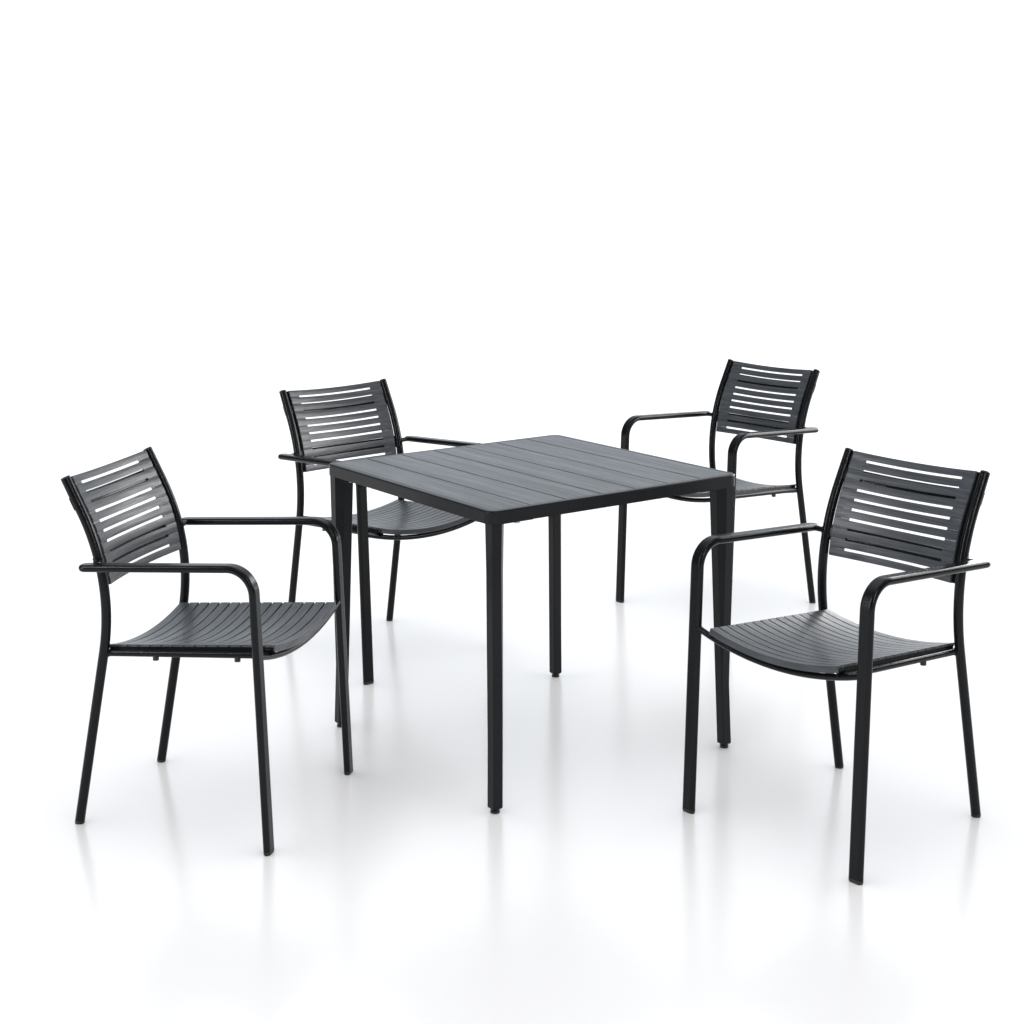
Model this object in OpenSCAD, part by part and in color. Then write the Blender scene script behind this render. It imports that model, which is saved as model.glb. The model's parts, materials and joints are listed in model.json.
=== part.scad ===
// Patio dining set: a square slatted table and four stacking armchairs.
// The origin is on the floor under the middle of the whole set, +Z up.
// Each chair is drawn in its own frame: X to the sitter's right, Y forward, Z up.

/* [Table] */
// Side of the square table top
table_w = 794; // [640:2:1000]
// Height of the table top above the floor
table_h = 740; // [680:2:780]
// Radius of the top's corners in plan
corner_r = 27; // [26:1:60]
// Height of the rim round the top
rim_h = 32; // [28:1:50]
// Width of the rim seen from above
rim_w = 16; // [10:1:17]
// Rounding of the rim's upper outer edge
rim_round = 4; // [1:0.5:6]
// Width of the ledge inside the rim that the slats lie on
ledge_w = 9; // [6:1:10]
// Thickness of that ledge
ledge_t = 3; // [2:0.5:4]
// Number of slats in the top
slat_count = 7; // [5:1:10]
// Open gap between two slats
slat_gap = 3.5; // [2:0.5:8]
// Seam between the slats and the rim
slat_seam = 0.6; // [0.2:0.1:2]
// Thickness of a slat
slat_t = 12; // [8:1:16]
// Wall of the hollow slats
slat_wall = 2; // [1:0.5:3]
// Rounding of a slat's long upper edges
slat_round = 1.2; // [0.5:0.1:1.8]
// Number of webs inside a slat
slat_webs = 2; // [1:1:4]
// Number of bearers under the slats
bearer_count = 3; // [2:1:4]
// Width of a bearer
bearer_w = 40; // [20:1:60]
// Height of a bearer
bearer_h = 19; // [12:1:24]
// Wall of a bearer
bearer_wall = 2; // [1:0.5:3]
// Distance of the outer bearers from the middle of the table
bearer_out = 225; // [150:5:240]

/* [Table legs] */
// Side of the square leg at the floor
leg_foot_w = 28; // [22:1:36]
// Side of the square leg under the top
leg_top_w = 48; // [36:1:60]
// Distance of the leg's outer faces from the rim's face, at the top
leg_top_in = 8; // [6:0.5:20]
// Distance of the foot's middle from the rim's face
leg_foot_in = 24; // [18:0.5:30]
// Height at which the leg's outer faces bend outward again
leg_bend_h = 174; // [100:2:300]
// How far the outer faces lean in from the foot to that height
leg_lean_in = 4.5; // [0:0.5:8]
// Half width across the leg's two planed corners, in its lower part
leg_half = 18.4; // [14:0.2:19]
// Extra half width across the planed corners, at the very top
leg_flare = 1.9; // [0:0.1:4]
// Height over which that flare runs out
leg_flare_h = 115; // [40:5:200]
// Chamfer of the leg's inner and outer corners
leg_nose = 1.6; // [0.5:0.1:3]
// Bevel round the bottom of the leg
leg_bevel = 5; // [2:0.5:7]
// Wall of the hollow leg
leg_wall = 3; // [2:0.5:4]
// Thickness of the closed bottom of the leg
leg_floor_t = 16; // [10:1:24]
// Thickness of the flange on top of the leg
flange_t = 3; // [2:0.5:6]
// How far the flange stands out from the leg's outer faces
flange_lip = 0.5; // [0.3:0.1:2]
// Length of the flange and the bracket along the rim
flange_reach = 128; // [100:2:170]
// Width of the flange and the bracket at their ends
flange_tip = 30; // [20:1:50]
// Thickness of the corner bracket inside the rim
bracket_t = 4; // [3:0.5:6]
// Distance of a flange bolt from the rim's face
bolt_in = 27; // [24:1:40]
// Distance of a flange bolt from the corner, along the rim
bolt_along = 94; // [80:1:100]
// Thread diameter of the flange bolts
bolt_d = 8; // [5:1:10]
// Width across the flats of a bolt head
bolt_head_w = 13; // [8:0.5:17]
// Height of a bolt head
bolt_head_h = 5.5; // [3:0.5:7]
// Diameter of a bolt's washer
washer_d = 17; // [10:0.5:22]
// Thickness of a bolt's washer
washer_t = 1.6; // [1:0.1:2.5]
// Diameter of a leveller's pad
leveller_d = 23; // [16:0.5:26]
// Height of a leveller's pad
leveller_h = 6; // [4:0.5:8]
// Open space between the pad and the leg when levelled
leveller_gap = 3; // [2:0.5:6]
// Diameter of a leveller's stem
stem_d = 8; // [6:0.5:10]
// Length of a leveller's stem
stem_len = 24; // [14:1:40]
// Radial clearance round a leveller's stem
stem_clear = 0.05; // [0.02:0.01:0.1]

/* [Chair legs and arms] */
// Width of the chair over both arms
chair_w = 540; // [480:2:620]
// Width of the flat oval tube of the front legs, arms and back bars
oval_w = 36; // [28:1:44]
// Thickness of that tube
oval_t = 17; // [12:0.5:22]
// Wall of the tubes
tube_wall = 1.8; // [1:0.1:3]
// Distance of the front feet ahead of the chair's middle
front_foot_y = 224; // [190:1:260]
// Distance of the arm's front corner ahead of the chair's middle
arm_corner_y = 197; // [170:1:230]
// Height of the tube's middle line at the arm's front corner
arm_corner_z = 655.5; // [600:0.5:700]
// Height of that line at the arm's rear end
arm_rear_z = 632; // [590:0.5:690]
// Bend radius of the arm's front corner
arm_bend_r = 60; // [40:1:90]

/* [Chair rear posts] */
// Diameter of the rear posts
post_d = 23; // [18:0.5:28]
// Distance of the rear feet behind the chair's middle
rear_foot_y = 281; // [250:1:310]
// Distance of a rear foot from the chair's middle plane
rear_foot_x = 206.5; // [180:0.5:240]
// Inward lean of a post to the sides, in degrees
post_splay = 0.42; // [0:0.02:1]
// Forward lean of a post's lower part, in degrees
post_lean = 10.1; // [6:0.1:14]
// Height at which the post starts to curve backwards
curve_z = 420; // [380:1:440]
// Radius of that curve
curve_r = 519; // [440:1:640]
// Backward lean of a post's top, in degrees
post_recline = 27; // [20:0.5:32]
// Height of the post's top end
post_top_z = 826; // [800:1:860]
// Diameter of the stub between an arm and a post
stub_d = 14; // [10:0.5:16]
// Distance of the stub ahead of the post's middle line
stub_lead = 2.5; // [0:0.5:3]

/* [Chair seat] */
// Height of the seat's middle above the floor
seat_z = 424.5; // [400:0.5:450]
// Rise of the seat to the front, in degrees
seat_tilt = 4; // [0:0.5:7]
// Half width of the seat slats
seat_half_w = 190; // [160:1:194]
// Radius of the seat's hollow
seat_r = 764; // [500:1:1200]
// Distance of the seat's front edge ahead of the chair's middle
seat_front = 222; // [205:1:240]
// Number of seat slats
seat_count = 15; // [10:1:18]
// Distance from one seat slat to the next
seat_pitch = 28.8; // [26:0.1:30]
// Open gap between two seat slats
seat_gap = 3.4; // [2:0.1:6]
// Thickness of a seat slat
seat_t = 5; // [3:0.5:8]
// Drop of the front slat's lip
lip_h = 10; // [4:0.5:14]
// Thickness of that lip
lip_t = 3.5; // [2:0.5:5]
// Diameter of the rails under the seat
rail_d = 15; // [12:0.5:18]
// Distance of a side rail from the chair's middle plane
side_rail_x = 197; // [185:0.5:205]
// Drop of a side rail's middle line below the middle of the strip under the slat ends
side_rail_drop = 12.1; // [10:0.1:13]
// Rise of the side rails to the front, in degrees
side_rail_tilt = 3.5; // [0:0.1:6]
// Height of the front rail's ends above the middles of the side rails
front_rail_rise = 26; // [20:0.5:32]
// Radius of the front and rear rails
cross_rail_r = 800; // [600:10:1400]
// Distance of the front rail ahead of the chair's middle
front_rail_y = 206; // [198:0.5:212]
// Width of the strip under the slat ends
strip_w = 14; // [8:1:20]
// Thickness of that strip
strip_t = 3; // [2:0.5:5]
// Distance of the strip's ends inside the seat's front and rear edges
strip_in = 6; // [5.5:0.5:20]
// Depth of the strip's web, which stands on the side rail
web_h = 10; // [8:0.5:11]
// Thickness of that web
web_t = 5; // [3:0.5:7]
// Open space between the web's ends and the cross rails
web_gap = 2; // [1:0.5:10]

/* [Chair back] */
// Number of back slats
back_count = 11; // [7:1:13]
// Distance from one back slat to the next
back_pitch = 25.4; // [20:0.1:26]
// Height of the open slots between the back slats
slot_h = 6.8; // [4:0.2:10]
// Half length of those slots
slot_half = 142; // [100:1:160]
// Hairline gap between the wide slat ends
slat_hair = 0.5; // [0.3:0.1:1]
// How much lower the top slat is than a middle one at its upper edge, and the bottom one at its lower edge
end_trim = 5; // [2:0.5:7]
// Half width of the back slats
back_half_w = 180; // [150:1:184]
// Radius of the back's hollow
back_r = 929; // [600:1:1600]
// Thickness of a back slat
back_t = 5; // [3:0.5:7]
// Radius of the crowned front of a back slat
back_crown_r = 60; // [40:5:200]
// Distance of the back's front face ahead of the posts' middle line, at its sides
back_face = 6; // [0:0.5:10]
// Distance of the top slat's upper edge below the post's top end
back_drop = 0; // [0:0.5:20]
// Width of a back strip
side_strip_w = 13; // [10:0.5:14]
// Depth of a back strip
side_strip_t = 13; // [8:0.5:16]
// Distance of a back strip's middle from the chair's middle plane
side_strip_x = 180.5; // [170:0.5:181]
// Gap between the back slats and the strips behind their ends
strip_gap = 1.5; // [0.4:0.1:3]
// Gap between the back slats and the bars behind them
bar_gap = 0.6; // [0.4:0.1:3]
// Number of the slat that the upper bar is behind, from the top
upper_bar = 3; // [2:1:4]
// Number of the slat that the lower bar is behind, from the top
lower_bar = 9; // [6:1:9]
// Drop of the bars below the middles of their slats
bar_drop = 2.5; // [0:0.5:4]

/* [Chair feet and caps] */
// Height of a glide below the end of its tube
glide_h = 8; // [5:0.5:14]
// Length of the spigots inside the tubes
spigot_len = 20; // [10:1:30]
// Gap between a spigot and its tube
spigot_gap = 0.2; // [0.1:0.05:0.5]
// Height of the foot's narrower sole
sole_h = 3; // [1:0.5:4]
// Step in from the glide's side to its sole
sole_in = 1.2; // [0.5:0.1:2.5]
// Height of a post cap
cap_h = 4; // [2:0.5:6]
// Rounding of a post cap
cap_round = 3; // [1:0.5:3.5]
// Diameter of a stacking bumper
bumper_d = 14; // [10:0.5:15]
// Drop of a bumper below its rail
bumper_h = 7.5; // [4:0.5:12]
// Distance of the front bumpers ahead of the chair's middle
bumper_front = 130; // [60:5:160]
// Distance of the rear bumpers behind the chair's middle
bumper_rear = 76; // [40:2:150]

/* [Places in the set] */
// Table's middle to the right of the set's middle
table_x = -207.2; // [-600:0.1:600]
// Table's middle behind the set's middle
table_y = -28.7; // [-600:0.1:600]
// Chair a: place to the right of the table's middle
chair_a_x = -867; // [-1100:1:-860]
// Chair a: place behind the table's middle
chair_a_y = 71; // [0:1:140]
// Chair a: direction it faces, in degrees from +X
chair_a_turn = -50.7; // [-70:0.1:-40]
// Chair b: place to the right of the table's middle
chair_b_x = 107; // [60:1:120]
// Chair b: place behind the table's middle
chair_b_y = 898; // [880:1:1200]
// Chair b: direction it faces, in degrees from +X
chair_b_turn = -84.3; // [-90:0.1:-80]
// Chair c: place to the right of the table's middle
chair_c_x = 1313; // [1300:1:1500]
// Chair c: place behind the table's middle
chair_c_y = 681; // [640:1:700]
// Chair c: direction it faces, in degrees from +X
chair_c_turn = -175.1; // [-180:0.1:-165]
// Chair d: place to the right of the table's middle
chair_d_x = 246; // [100:1:400]
// Chair d: place behind the table's middle
chair_d_y = -880; // [-1100:1:-860]
// Chair d: direction it faces, in degrees from +X
chair_d_turn = -176.2; // [-190:0.1:-165]

/* [Hidden] */
$fn = 64;
// Facets to a full turn of the long, flat curves
curve_fn = 300;
// Small overlap for cutting tools, so that no cut ends on a face
cut = 1;
// Lap of a straight run of tube into the bend before it, and the share by which it is wider
run_lap = 0.5;
run_swell = 0.01;
frame_colour = "#43474b";
slat_colour = "#565b60";
plastic_colour = "#2a2c2e";
steel_colour = "#8d9296";

// Table levels
half_w = table_w / 2;
rim_z = table_h - rim_h;
slat_z = table_h - slat_t;
inner_half = half_w - rim_w;
slat_half = inner_half - slat_seam;
flange_z = rim_z - flange_t;
leg_end = flange_z + cut;
leg_z = leveller_h + leveller_gap;
leg_h = flange_z - leg_z;
leg_corners = [["front_left", 180], ["front_right", -90], ["back_right", 0], ["back_left", 90]];

// Chair frame
// Straight runs of tube have whole hundredths of a millimetre
function hundredths(x) = round(x * 100) / 100;
oval_x = (chair_w - oval_w) / 2;

// Rear posts: a leaning run, an arc and a reclined run, measured along the tube
lower_run = hundredths(curve_z / cos(post_lean));
curve_turn = post_lean + post_recline;
curve_run = curve_r * curve_turn * PI / 180;
curve_mid_z = curve_z + curve_r * sin(post_lean);
curve_end_z = curve_mid_z + curve_r * sin(post_recline);
upper_run = hundredths((post_top_z - curve_end_z) / cos(post_recline));
post_len = lower_run + curve_run + upper_run;

// Where a post's middle line is at the distance s from its foot
function post_turned(s) = max(0, min(curve_turn, (s - lower_run) / curve_r * 180 / PI));
function post_angle(s) = post_turned(s) - post_lean;
function arc_y(a) = curve_r * (cos(a) - cos(post_lean));
function arc_z(a) = curve_r * (sin(a) + sin(post_lean));
function post_y(s) = -rear_foot_y + min(s, lower_run) * sin(post_lean) + arc_y(post_angle(s))
    - max(0, s - lower_run - curve_run) * sin(post_recline);
function post_z(s) = min(s, lower_run) * cos(post_lean) + arc_z(post_angle(s))
    + max(0, s - lower_run - curve_run) * cos(post_recline);
// Its place at the height z, for the lower run and for the arc
function run_y(z) = -rear_foot_y + z * tan(post_lean);
function curve_y(z) = run_y(curve_z) - curve_r * cos(post_lean)
    + sqrt(curve_r ^ 2 - (z - curve_mid_z) ^ 2);

// Arm: its straight run ends just behind the stub that joins it to the post
stub_y = curve_y(arm_rear_z) + stub_lead;
stub_ahead = stub_d / 2 + 0.5;
arm_rear_y = stub_ahead - stub_y;
leg_fall = front_foot_y - arm_corner_y;
leg_lean = atan(leg_fall / arm_corner_z);
arm_fall = atan((arm_corner_z - arm_rear_z) / (arm_corner_y + arm_rear_y));
arm_turn = 90 - leg_lean + arm_fall;
bend_reach = arm_bend_r * tan(arm_turn / 2);
leg_run = hundredths(norm([leg_fall, arm_corner_z]) - bend_reach);
arm_run = hundredths(norm([arm_corner_y + arm_rear_y, arm_corner_z - arm_rear_z]) - bend_reach);
stub_z = arm_rear_z + stub_ahead * tan(arm_fall);

// Seat
seat_slat_w = seat_pitch - seat_gap;
seat_arc = asin(seat_half_w / (seat_r + seat_t));
seat_depth = seat_count * seat_pitch - seat_gap;
seat_mid_y = seat_front - seat_depth / 2;
strip_arc = asin((seat_half_w - strip_w / 2) / (seat_r + seat_t));
strip_r = seat_r + seat_t + strip_t / 2;
side_rail_z = seat_z + seat_r - strip_r * cos(strip_arc) - side_rail_drop;
front_rail_z = side_rail_z + front_rail_rise;
front_rail_half = oval_x;
rear_rail_z = side_rail_z + run_y(side_rail_z) * sin(side_rail_tilt);
rear_rail_y = run_y(rear_rail_z);
web_back = rear_rail_y + rail_d / 2 + web_gap;
web_front = front_rail_y - rail_d / 2 - web_gap;

// Back
back_len = back_count * back_pitch - 2 * end_trim;
back_top = post_len - back_drop;
back_arc = asin(back_half_w / back_r);
slot_arc = asin(slot_half / back_r);
back_mid = back_face - back_r * (1 - cos(back_arc));
bar_r = back_r + back_t + bar_gap + oval_t / 2;
side_strip_at = [side_strip_x, back_face - back_t - side_strip_t / 2 - strip_gap];
function back_slat_s(i) = back_top + end_trim - (i - 0.5) * back_pitch;

chair_tags = ["a", "b", "c", "d"];
chair_x = [chair_a_x, chair_b_x, chair_c_x, chair_d_x];
chair_y = [chair_a_y, chair_b_y, chair_c_y, chair_d_y];
chair_turn = [chair_a_turn, chair_b_turn, chair_c_turn, chair_d_turn];
chair_parts = ["right_leg_arm", "left_leg_arm", "right_post", "left_post", "seat_frame", "seat_slats",
    "back_frame", "back_slats", "glides", "caps", "bumpers"];
table_parts = ["frame", "slats", "bearers", "brackets", "bolts"];

// ---- Outlines ----

// Flat oval with its long side along X
module oval(w, t) {
    square([w - t, t], center = true);
    for (side = [-1, 1]) translate([side * (w - t) / 2, 0]) circle(d = t);
}

// Square with round corners, centred
module round_square(w, r) {
    square([w, w - 2 * r], center = true);
    square([w - 2 * r, w], center = true);
    for (sx = [-1, 1], sy = [-1, 1]) translate([sx, sy] * (w / 2 - r)) circle(r);
}

// Rectangle whose two upper corners are round, from its lower left corner
module round_top(w, h, r) {
    square([w, h - r]);
    translate([r, 0]) square([w - 2 * r, h]);
    for (x = [r, w - r]) translate([x, h - r]) circle(r);
}

// ---- Table ----

// Section of the rim and its ledge: X = 0 is the outer face, Y = 0 the bottom
module rim_section() {
    translate([-rim_w, 0]) square([rim_w - rim_round, rim_h]);
    translate([-rim_w, 0]) square([rim_w, rim_h - rim_round]);
    translate([-rim_round, rim_h - rim_round]) circle(rim_round);
    translate([-rim_w - ledge_w, rim_h - slat_t - ledge_t]) square([ledge_w + cut, ledge_t]);
}

module rim_ring() {
    for (turn = [0:90:270]) rotate(turn) {
        translate([half_w, corner_r - half_w]) rotate([90, 0, 180]) mirror([1, 0])
            linear_extrude(table_w - 2 * corner_r) rim_section();
        translate([1, 1] * (half_w - corner_r)) rotate_extrude(angle = 90)
            translate([corner_r, 0]) rim_section();
    }
}

module table_frame() {
    color(frame_colour) translate([0, 0, rim_z]) rim_ring();
}

// Section of one hollow slat of the table, upper face at Y = 0
module table_slat_section(w) {
    chamber = (w - slat_wall * (slat_webs + 2)) / (slat_webs + 1);
    difference() {
        translate([0, -slat_t]) round_top(w, slat_t, slat_round);
        for (i = [0:slat_webs])
            translate([slat_wall + i * (chamber + slat_wall), slat_wall - slat_t])
                square([chamber, slat_t - 2 * slat_wall]);
    }
}

module table_slats() {
    w = (2 * slat_half - (slat_count - 1) * slat_gap) / slat_count;
    color(slat_colour) intersection() {
        for (i = [0:slat_count - 1])
            translate([i * (w + slat_gap) - slat_half, slat_half, table_h])
                rotate([90, 0, 0]) linear_extrude(2 * slat_half) table_slat_section(w);
        translate([0, 0, slat_z - cut]) linear_extrude(slat_t + 2 * cut)
            round_square(2 * slat_half, corner_r - rim_w - slat_seam);
    }
}

module table_bearers() {
    step = bearer_count > 1 ? 2 * bearer_out / (bearer_count - 1) : 0;
    color(frame_colour) difference() {
        for (i = [0:bearer_count - 1])
            translate([-inner_half, i * step - bearer_out, slat_z - bearer_h / 2])
                rotate([90, 0, 90]) linear_extrude(2 * inner_half) difference() {
                    square([bearer_w, bearer_h], center = true);
                    square([bearer_w, bearer_h] - 2 * bearer_wall * [1, 1], center = true);
                }
        for (side = [0, 180]) rotate(side)
            translate([inner_half - ledge_w, -half_w, slat_z - ledge_t])
                cube([ledge_w + cut, table_w, ledge_t + cut]);
    }
}

// Stands on a corner of the table: the corner of the rim is at 0, 0 and the table lies in -X, -Y
module at_corner(turn) {
    rotate(turn) translate([half_w, half_w]) children();
}

// Plate in the corner of the top, from a distance inside the rim's face, with its corner cut off
module corner_plate(t, edge, corner_cut) {
    difference() {
        linear_extrude(t) polygon([
            [-edge, -edge - corner_cut], [-edge, -flange_reach], [-edge - flange_tip, -flange_reach],
            [-flange_reach, -edge - flange_tip], [-flange_reach, -edge], [-edge - corner_cut, -edge]]);
        translate([0, 0, -cut]) at_bolts() cylinder(d = bolt_d, h = t + 2 * cut);
    }
}

module at_bolts() {
    for (flip = [0, 1]) mirror([flip, -flip]) translate([-bolt_in, -bolt_along]) children();
}

module table_brackets() {
    color(frame_colour) for (corner = leg_corners) at_corner(corner[1])
        translate([0, 0, rim_z]) corner_plate(bracket_t, rim_w, corner_r - rim_w);
}

module table_bolts() {
    color(steel_colour) for (corner = leg_corners) at_corner(corner[1]) at_bolts() {
        translate([0, 0, flange_z - washer_t - bolt_head_h])
            cylinder(d = bolt_head_w / cos(30), h = bolt_head_h, $fn = 6);
        translate([0, 0, flange_z - washer_t]) cylinder(d = washer_d, h = washer_t);
        translate([0, 0, flange_z - washer_t - cut])
            cylinder(d = bolt_d, h = washer_t + flange_t + bracket_t + cut);
    }
}

// Side view of the leg against one face of the rim, taken in by the wall thickness
module leg_side(in, knee, toe) {
    foot_out = -leg_foot_in + leg_foot_w / 2 - in;
    foot_back = foot_out - leg_foot_w + 2 * in;
    polygon([
        [foot_back + toe, knee - leg_bevel - cut], [foot_out - toe, knee - leg_bevel - cut],
        [foot_out, knee], [foot_out - leg_lean_in, leg_bend_h], [-leg_top_in - in, leg_end],
        [-leg_top_in - leg_top_w + in, leg_end], [foot_back, knee]]);
}

// Front view of the leg along the table's diagonal, between the planed corners
module leg_front(in, knee, toe) {
    half = leg_half - in;
    top = half + leg_flare;
    polygon([
        [half - toe, knee - leg_bevel - cut], [half, knee], [half, flange_z - leg_flare_h], [top, leg_end],
        [-top, leg_end], [-half, flange_z - leg_flare_h], [-half, knee], [toe - half, knee - leg_bevel - cut]]);
}

// View across the diagonal, which takes the sharp noses off the inner and outer corners
module leg_noses(in, knee) {
    out = (leg_foot_w / 2 - leg_foot_in) * sqrt(2) - leg_nose - in;
    back = out - leg_foot_w * sqrt(2) + 2 * (leg_nose + in);
    top_out = -leg_top_in * sqrt(2) - leg_nose - in;
    top_back = -(leg_top_in + leg_top_w) * sqrt(2) + leg_nose + in;
    polygon([
        [back, knee - leg_bevel - cut], [out, knee - leg_bevel - cut],
        [out - leg_lean_in * sqrt(2), leg_bend_h + leg_nose], [top_out, leg_end], [top_back, leg_end]]);
}

// The leg between a bottom and the flange; its bevel rises to the knee and goes in by the toe
module leg_block(in, bottom, knee, toe) {
    deep = 2 * table_w;
    intersection() {
        translate([-deep / 2, -deep / 2, bottom]) cube([deep, deep, flange_z - bottom]);
        rotate([90, 0, 0]) translate([0, 0, -deep / 2]) linear_extrude(deep) leg_side(in, knee, toe);
        rotate([90, 0, 90]) translate([0, 0, -deep / 2]) linear_extrude(deep) leg_side(in, knee, toe);
        rotate([90, 0, 135]) translate([0, 0, -deep / 2]) linear_extrude(deep)
            leg_front(in, knee - leg_nose, toe);
        rotate([90, 0, 45]) translate([0, 0, -deep / 2]) linear_extrude(deep) leg_noses(in, knee);
    }
}

module table_leg() {
    color(frame_colour) {
        difference() {
            leg_block(0, leg_z, leg_z + leg_bevel, leg_bevel + cut);
            leg_block(leg_wall, leg_z + leg_floor_t, leg_z, 0);
            translate([-leg_foot_in, -leg_foot_in, leg_z - cut])
                cylinder(d = stem_d + 2 * stem_clear, h = leg_floor_t + 2 * cut);
        }
        translate([0, 0, flange_z])
            corner_plate(flange_t, leg_top_in - flange_lip, leg_nose * sqrt(2) + flange_lip * (2 - sqrt(2)));
    }
}

// Screw-in foot under a leg
module leveller() {
    color(plastic_colour) translate([-leg_foot_in, -leg_foot_in]) rotate_extrude() {
        square([leveller_d / 2 - sole_in, leveller_h]);
        translate([0, sole_in]) square([leveller_d / 2, leveller_h - sole_in]);
        translate([leveller_d / 2 - sole_in, sole_in])
            intersection() { circle(sole_in); translate([0, -sole_in]) square(sole_in); }
        square([stem_d / 2, leveller_h + stem_len]);
    }
}

// ---- Chair frame ----

// Carries children, which stand at the start of a bend towards -Y, round it by an angle
module round_bend(r, angle) {
    translate([0, -r, 0]) rotate([angle, 0, 0]) translate([0, r, 0]) children();
}

// Sweeps an outline round a bend towards -Y that starts along +Z, between two angles
module bend(r, from, to) {
    round_bend(r, from) translate([0, -r, 0]) rotate([90, 0, 90])
        rotate_extrude(angle = to - from, $fn = curve_fn) translate([r, 0]) mirror([1, -1]) children();
}

// Straight run beyond a bend, of an outline at the place at. It starts a little inside the bend
// and is a hair wider, so that the two meet in clean edges.
module run_beyond(len, at = [0, 0]) {
    translate([0, 0, -run_lap]) linear_extrude(len + run_lap)
        translate(at) scale(1 + run_swell) children();
}

// Stands children at the foot of the right front leg, with Z along it
module on_leg() {
    translate([oval_x, front_foot_y, 0]) rotate([leg_lean, 0, 0]) children();
}

// Stands children on the bend at the arm's front corner, with Z along the arm and Y up
module on_arm() {
    translate([0, 0, leg_run]) round_bend(arm_bend_r, arm_turn) children();
}

// Sweeps an outline from the distance start above the floor to the arm's rear end
module leg_arm_sweep(start) {
    on_leg() {
        translate([0, 0, start]) linear_extrude(leg_run - start) children();
        translate([0, 0, leg_run]) bend(arm_bend_r, 0, arm_turn) children();
        on_arm() run_beyond(arm_run) children();
    }
}

// Solid round end of an arm: half of the tube's own outline, turned about its upright middle
module arm_end() {
    rotate([-90, 0, 0]) rotate(180) rotate_extrude(angle = 180) intersection() {
        oval(oval_w, oval_t);
        translate([0, -oval_t]) square([oval_w, 2 * oval_t]);
    }
}

// Short stub from a post to the side of the arm's tube
module stub() {
    difference() {
        translate([rear_foot_x, stub_y, stub_z]) rotate([0, 90, 0]) cylinder(d = stub_d, h = oval_x - rear_foot_x);
        post_sweep();
        leg_arm_sweep(0) oval(oval_w - cut / 10, oval_t);
    }
}

module right_leg_arm() {
    color(frame_colour) {
        leg_arm_sweep(glide_h) difference() {
            oval(oval_w, oval_t);
            oval(oval_w - 2 * tube_wall, oval_t - 2 * tube_wall);
        }
        on_leg() on_arm() translate([0, 0, arm_run]) arm_end();
        stub();
    }
}

// Extrudes an outline along a post between two distances from its foot, at the place at across it
module along_post(s0, s1, at = [0, 0]) {
    translate([0, -rear_foot_y, 0]) rotate([-post_lean, 0, 0]) {
        if (s0 < lower_run) translate([0, 0, s0]) linear_extrude(lower_run - s0) translate(at) children();
        translate([0, 0, lower_run]) {
            bend(curve_r, post_turned(s0), curve_turn) translate(at) children();
            round_bend(curve_r, curve_turn) run_beyond(s1 - lower_run - curve_run, at) children();
        }
    }
}

// Stands children in the chair's middle plane, beside a post at the distance s from its foot
module at_post(s) {
    translate([0, post_y(s), post_z(s)]) rotate([post_angle(s), 0, 0]) children();
}

module beside_post() {
    translate([rear_foot_x, 0, 0]) rotate([0, -post_splay, 0]) children();
}

// Solid of the right post, which cuts the saddles in what meets it
module post_sweep() {
    beside_post() along_post(0, post_len) circle(d = post_d);
}

module right_post() {
    color(frame_colour) beside_post() along_post(glide_h, post_len) difference() {
        circle(d = post_d);
        circle(d = post_d - 2 * tube_wall);
    }
}

// ---- Seat ----

module in_seat() {
    translate([0, 0, seat_z]) rotate([seat_tilt, 0, 0]) children();
}

// Sweeps an outline along the seat's hollow: its X is the depth below the seat's face, its Y is -Y
module along_seat(r, arc) {
    translate([0, 0, r]) rotate([90, 0, 0]) rotate(-90 - arc)
        rotate_extrude(angle = 2 * arc, $fn = curve_fn) translate([r, 0]) children();
}

module seat_slats() {
    color(slat_colour) in_seat() for (i = [0:seat_count - 1])
        translate([0, seat_front - seat_slat_w / 2 - i * seat_pitch, 0]) {
            along_seat(seat_r, seat_arc) rotate(90) translate([-seat_slat_w / 2, -seat_t])
                round_top(seat_slat_w, seat_t, slat_round);
            if (i == 0) along_seat(seat_r, seat_arc)
                translate([seat_t - slat_round, -seat_slat_w / 2]) square([lip_h + slat_round, lip_t]);
        }
}

module side_rail(d) {
    translate([side_rail_x, 0, side_rail_z]) rotate([90 + side_rail_tilt, 0, 0])
        cylinder(d = d, h = 2 * rear_foot_y, center = true);
}

// Curved rail from side to side, whose ends at the distance half are at the height z
module cross_rail(d, y, z, half) {
    arc = asin(half / cross_rail_r);
    translate([0, y, z + cross_rail_r * cos(arc)]) rotate([90, 0, 0]) rotate(-90 - arc)
        rotate_extrude(angle = 2 * arc, $fn = curve_fn) translate([cross_rail_r, 0]) circle(d = d);
}

module front_rail(d) {
    cross_rail(d, front_rail_y, front_rail_z, front_rail_half);
}

module rear_rail(d) {
    cross_rail(d, rear_rail_y, rear_rail_z, rear_foot_x);
}

module seat_frame_half() {
    bore = rail_d - 2 * tube_wall;
    difference() {
        intersection() {
            difference() {
                side_rail(rail_d);
                side_rail(bore);
            }
            translate([0, rear_rail_y, 0]) cube([chair_w, front_rail_y - rear_rail_y, table_h]);
        }
        front_rail(rail_d);
        post_sweep();
    }
}

module seat_frame() {
    bore = rail_d - 2 * tube_wall;
    color(frame_colour) {
        difference() {
            union() {
                front_rail(rail_d);
                rear_rail(rail_d);
            }
            front_rail(bore);
            rear_rail(bore);
            for (flip = [0, 1]) mirror([flip, 0, 0]) {
                leg_arm_sweep(0) oval(oval_w, oval_t);
                post_sweep();
            }
        }
        for (flip = [0, 1]) mirror([flip, 0, 0]) {
            seat_frame_half();
            seat_strip();
        }
    }
}

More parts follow.
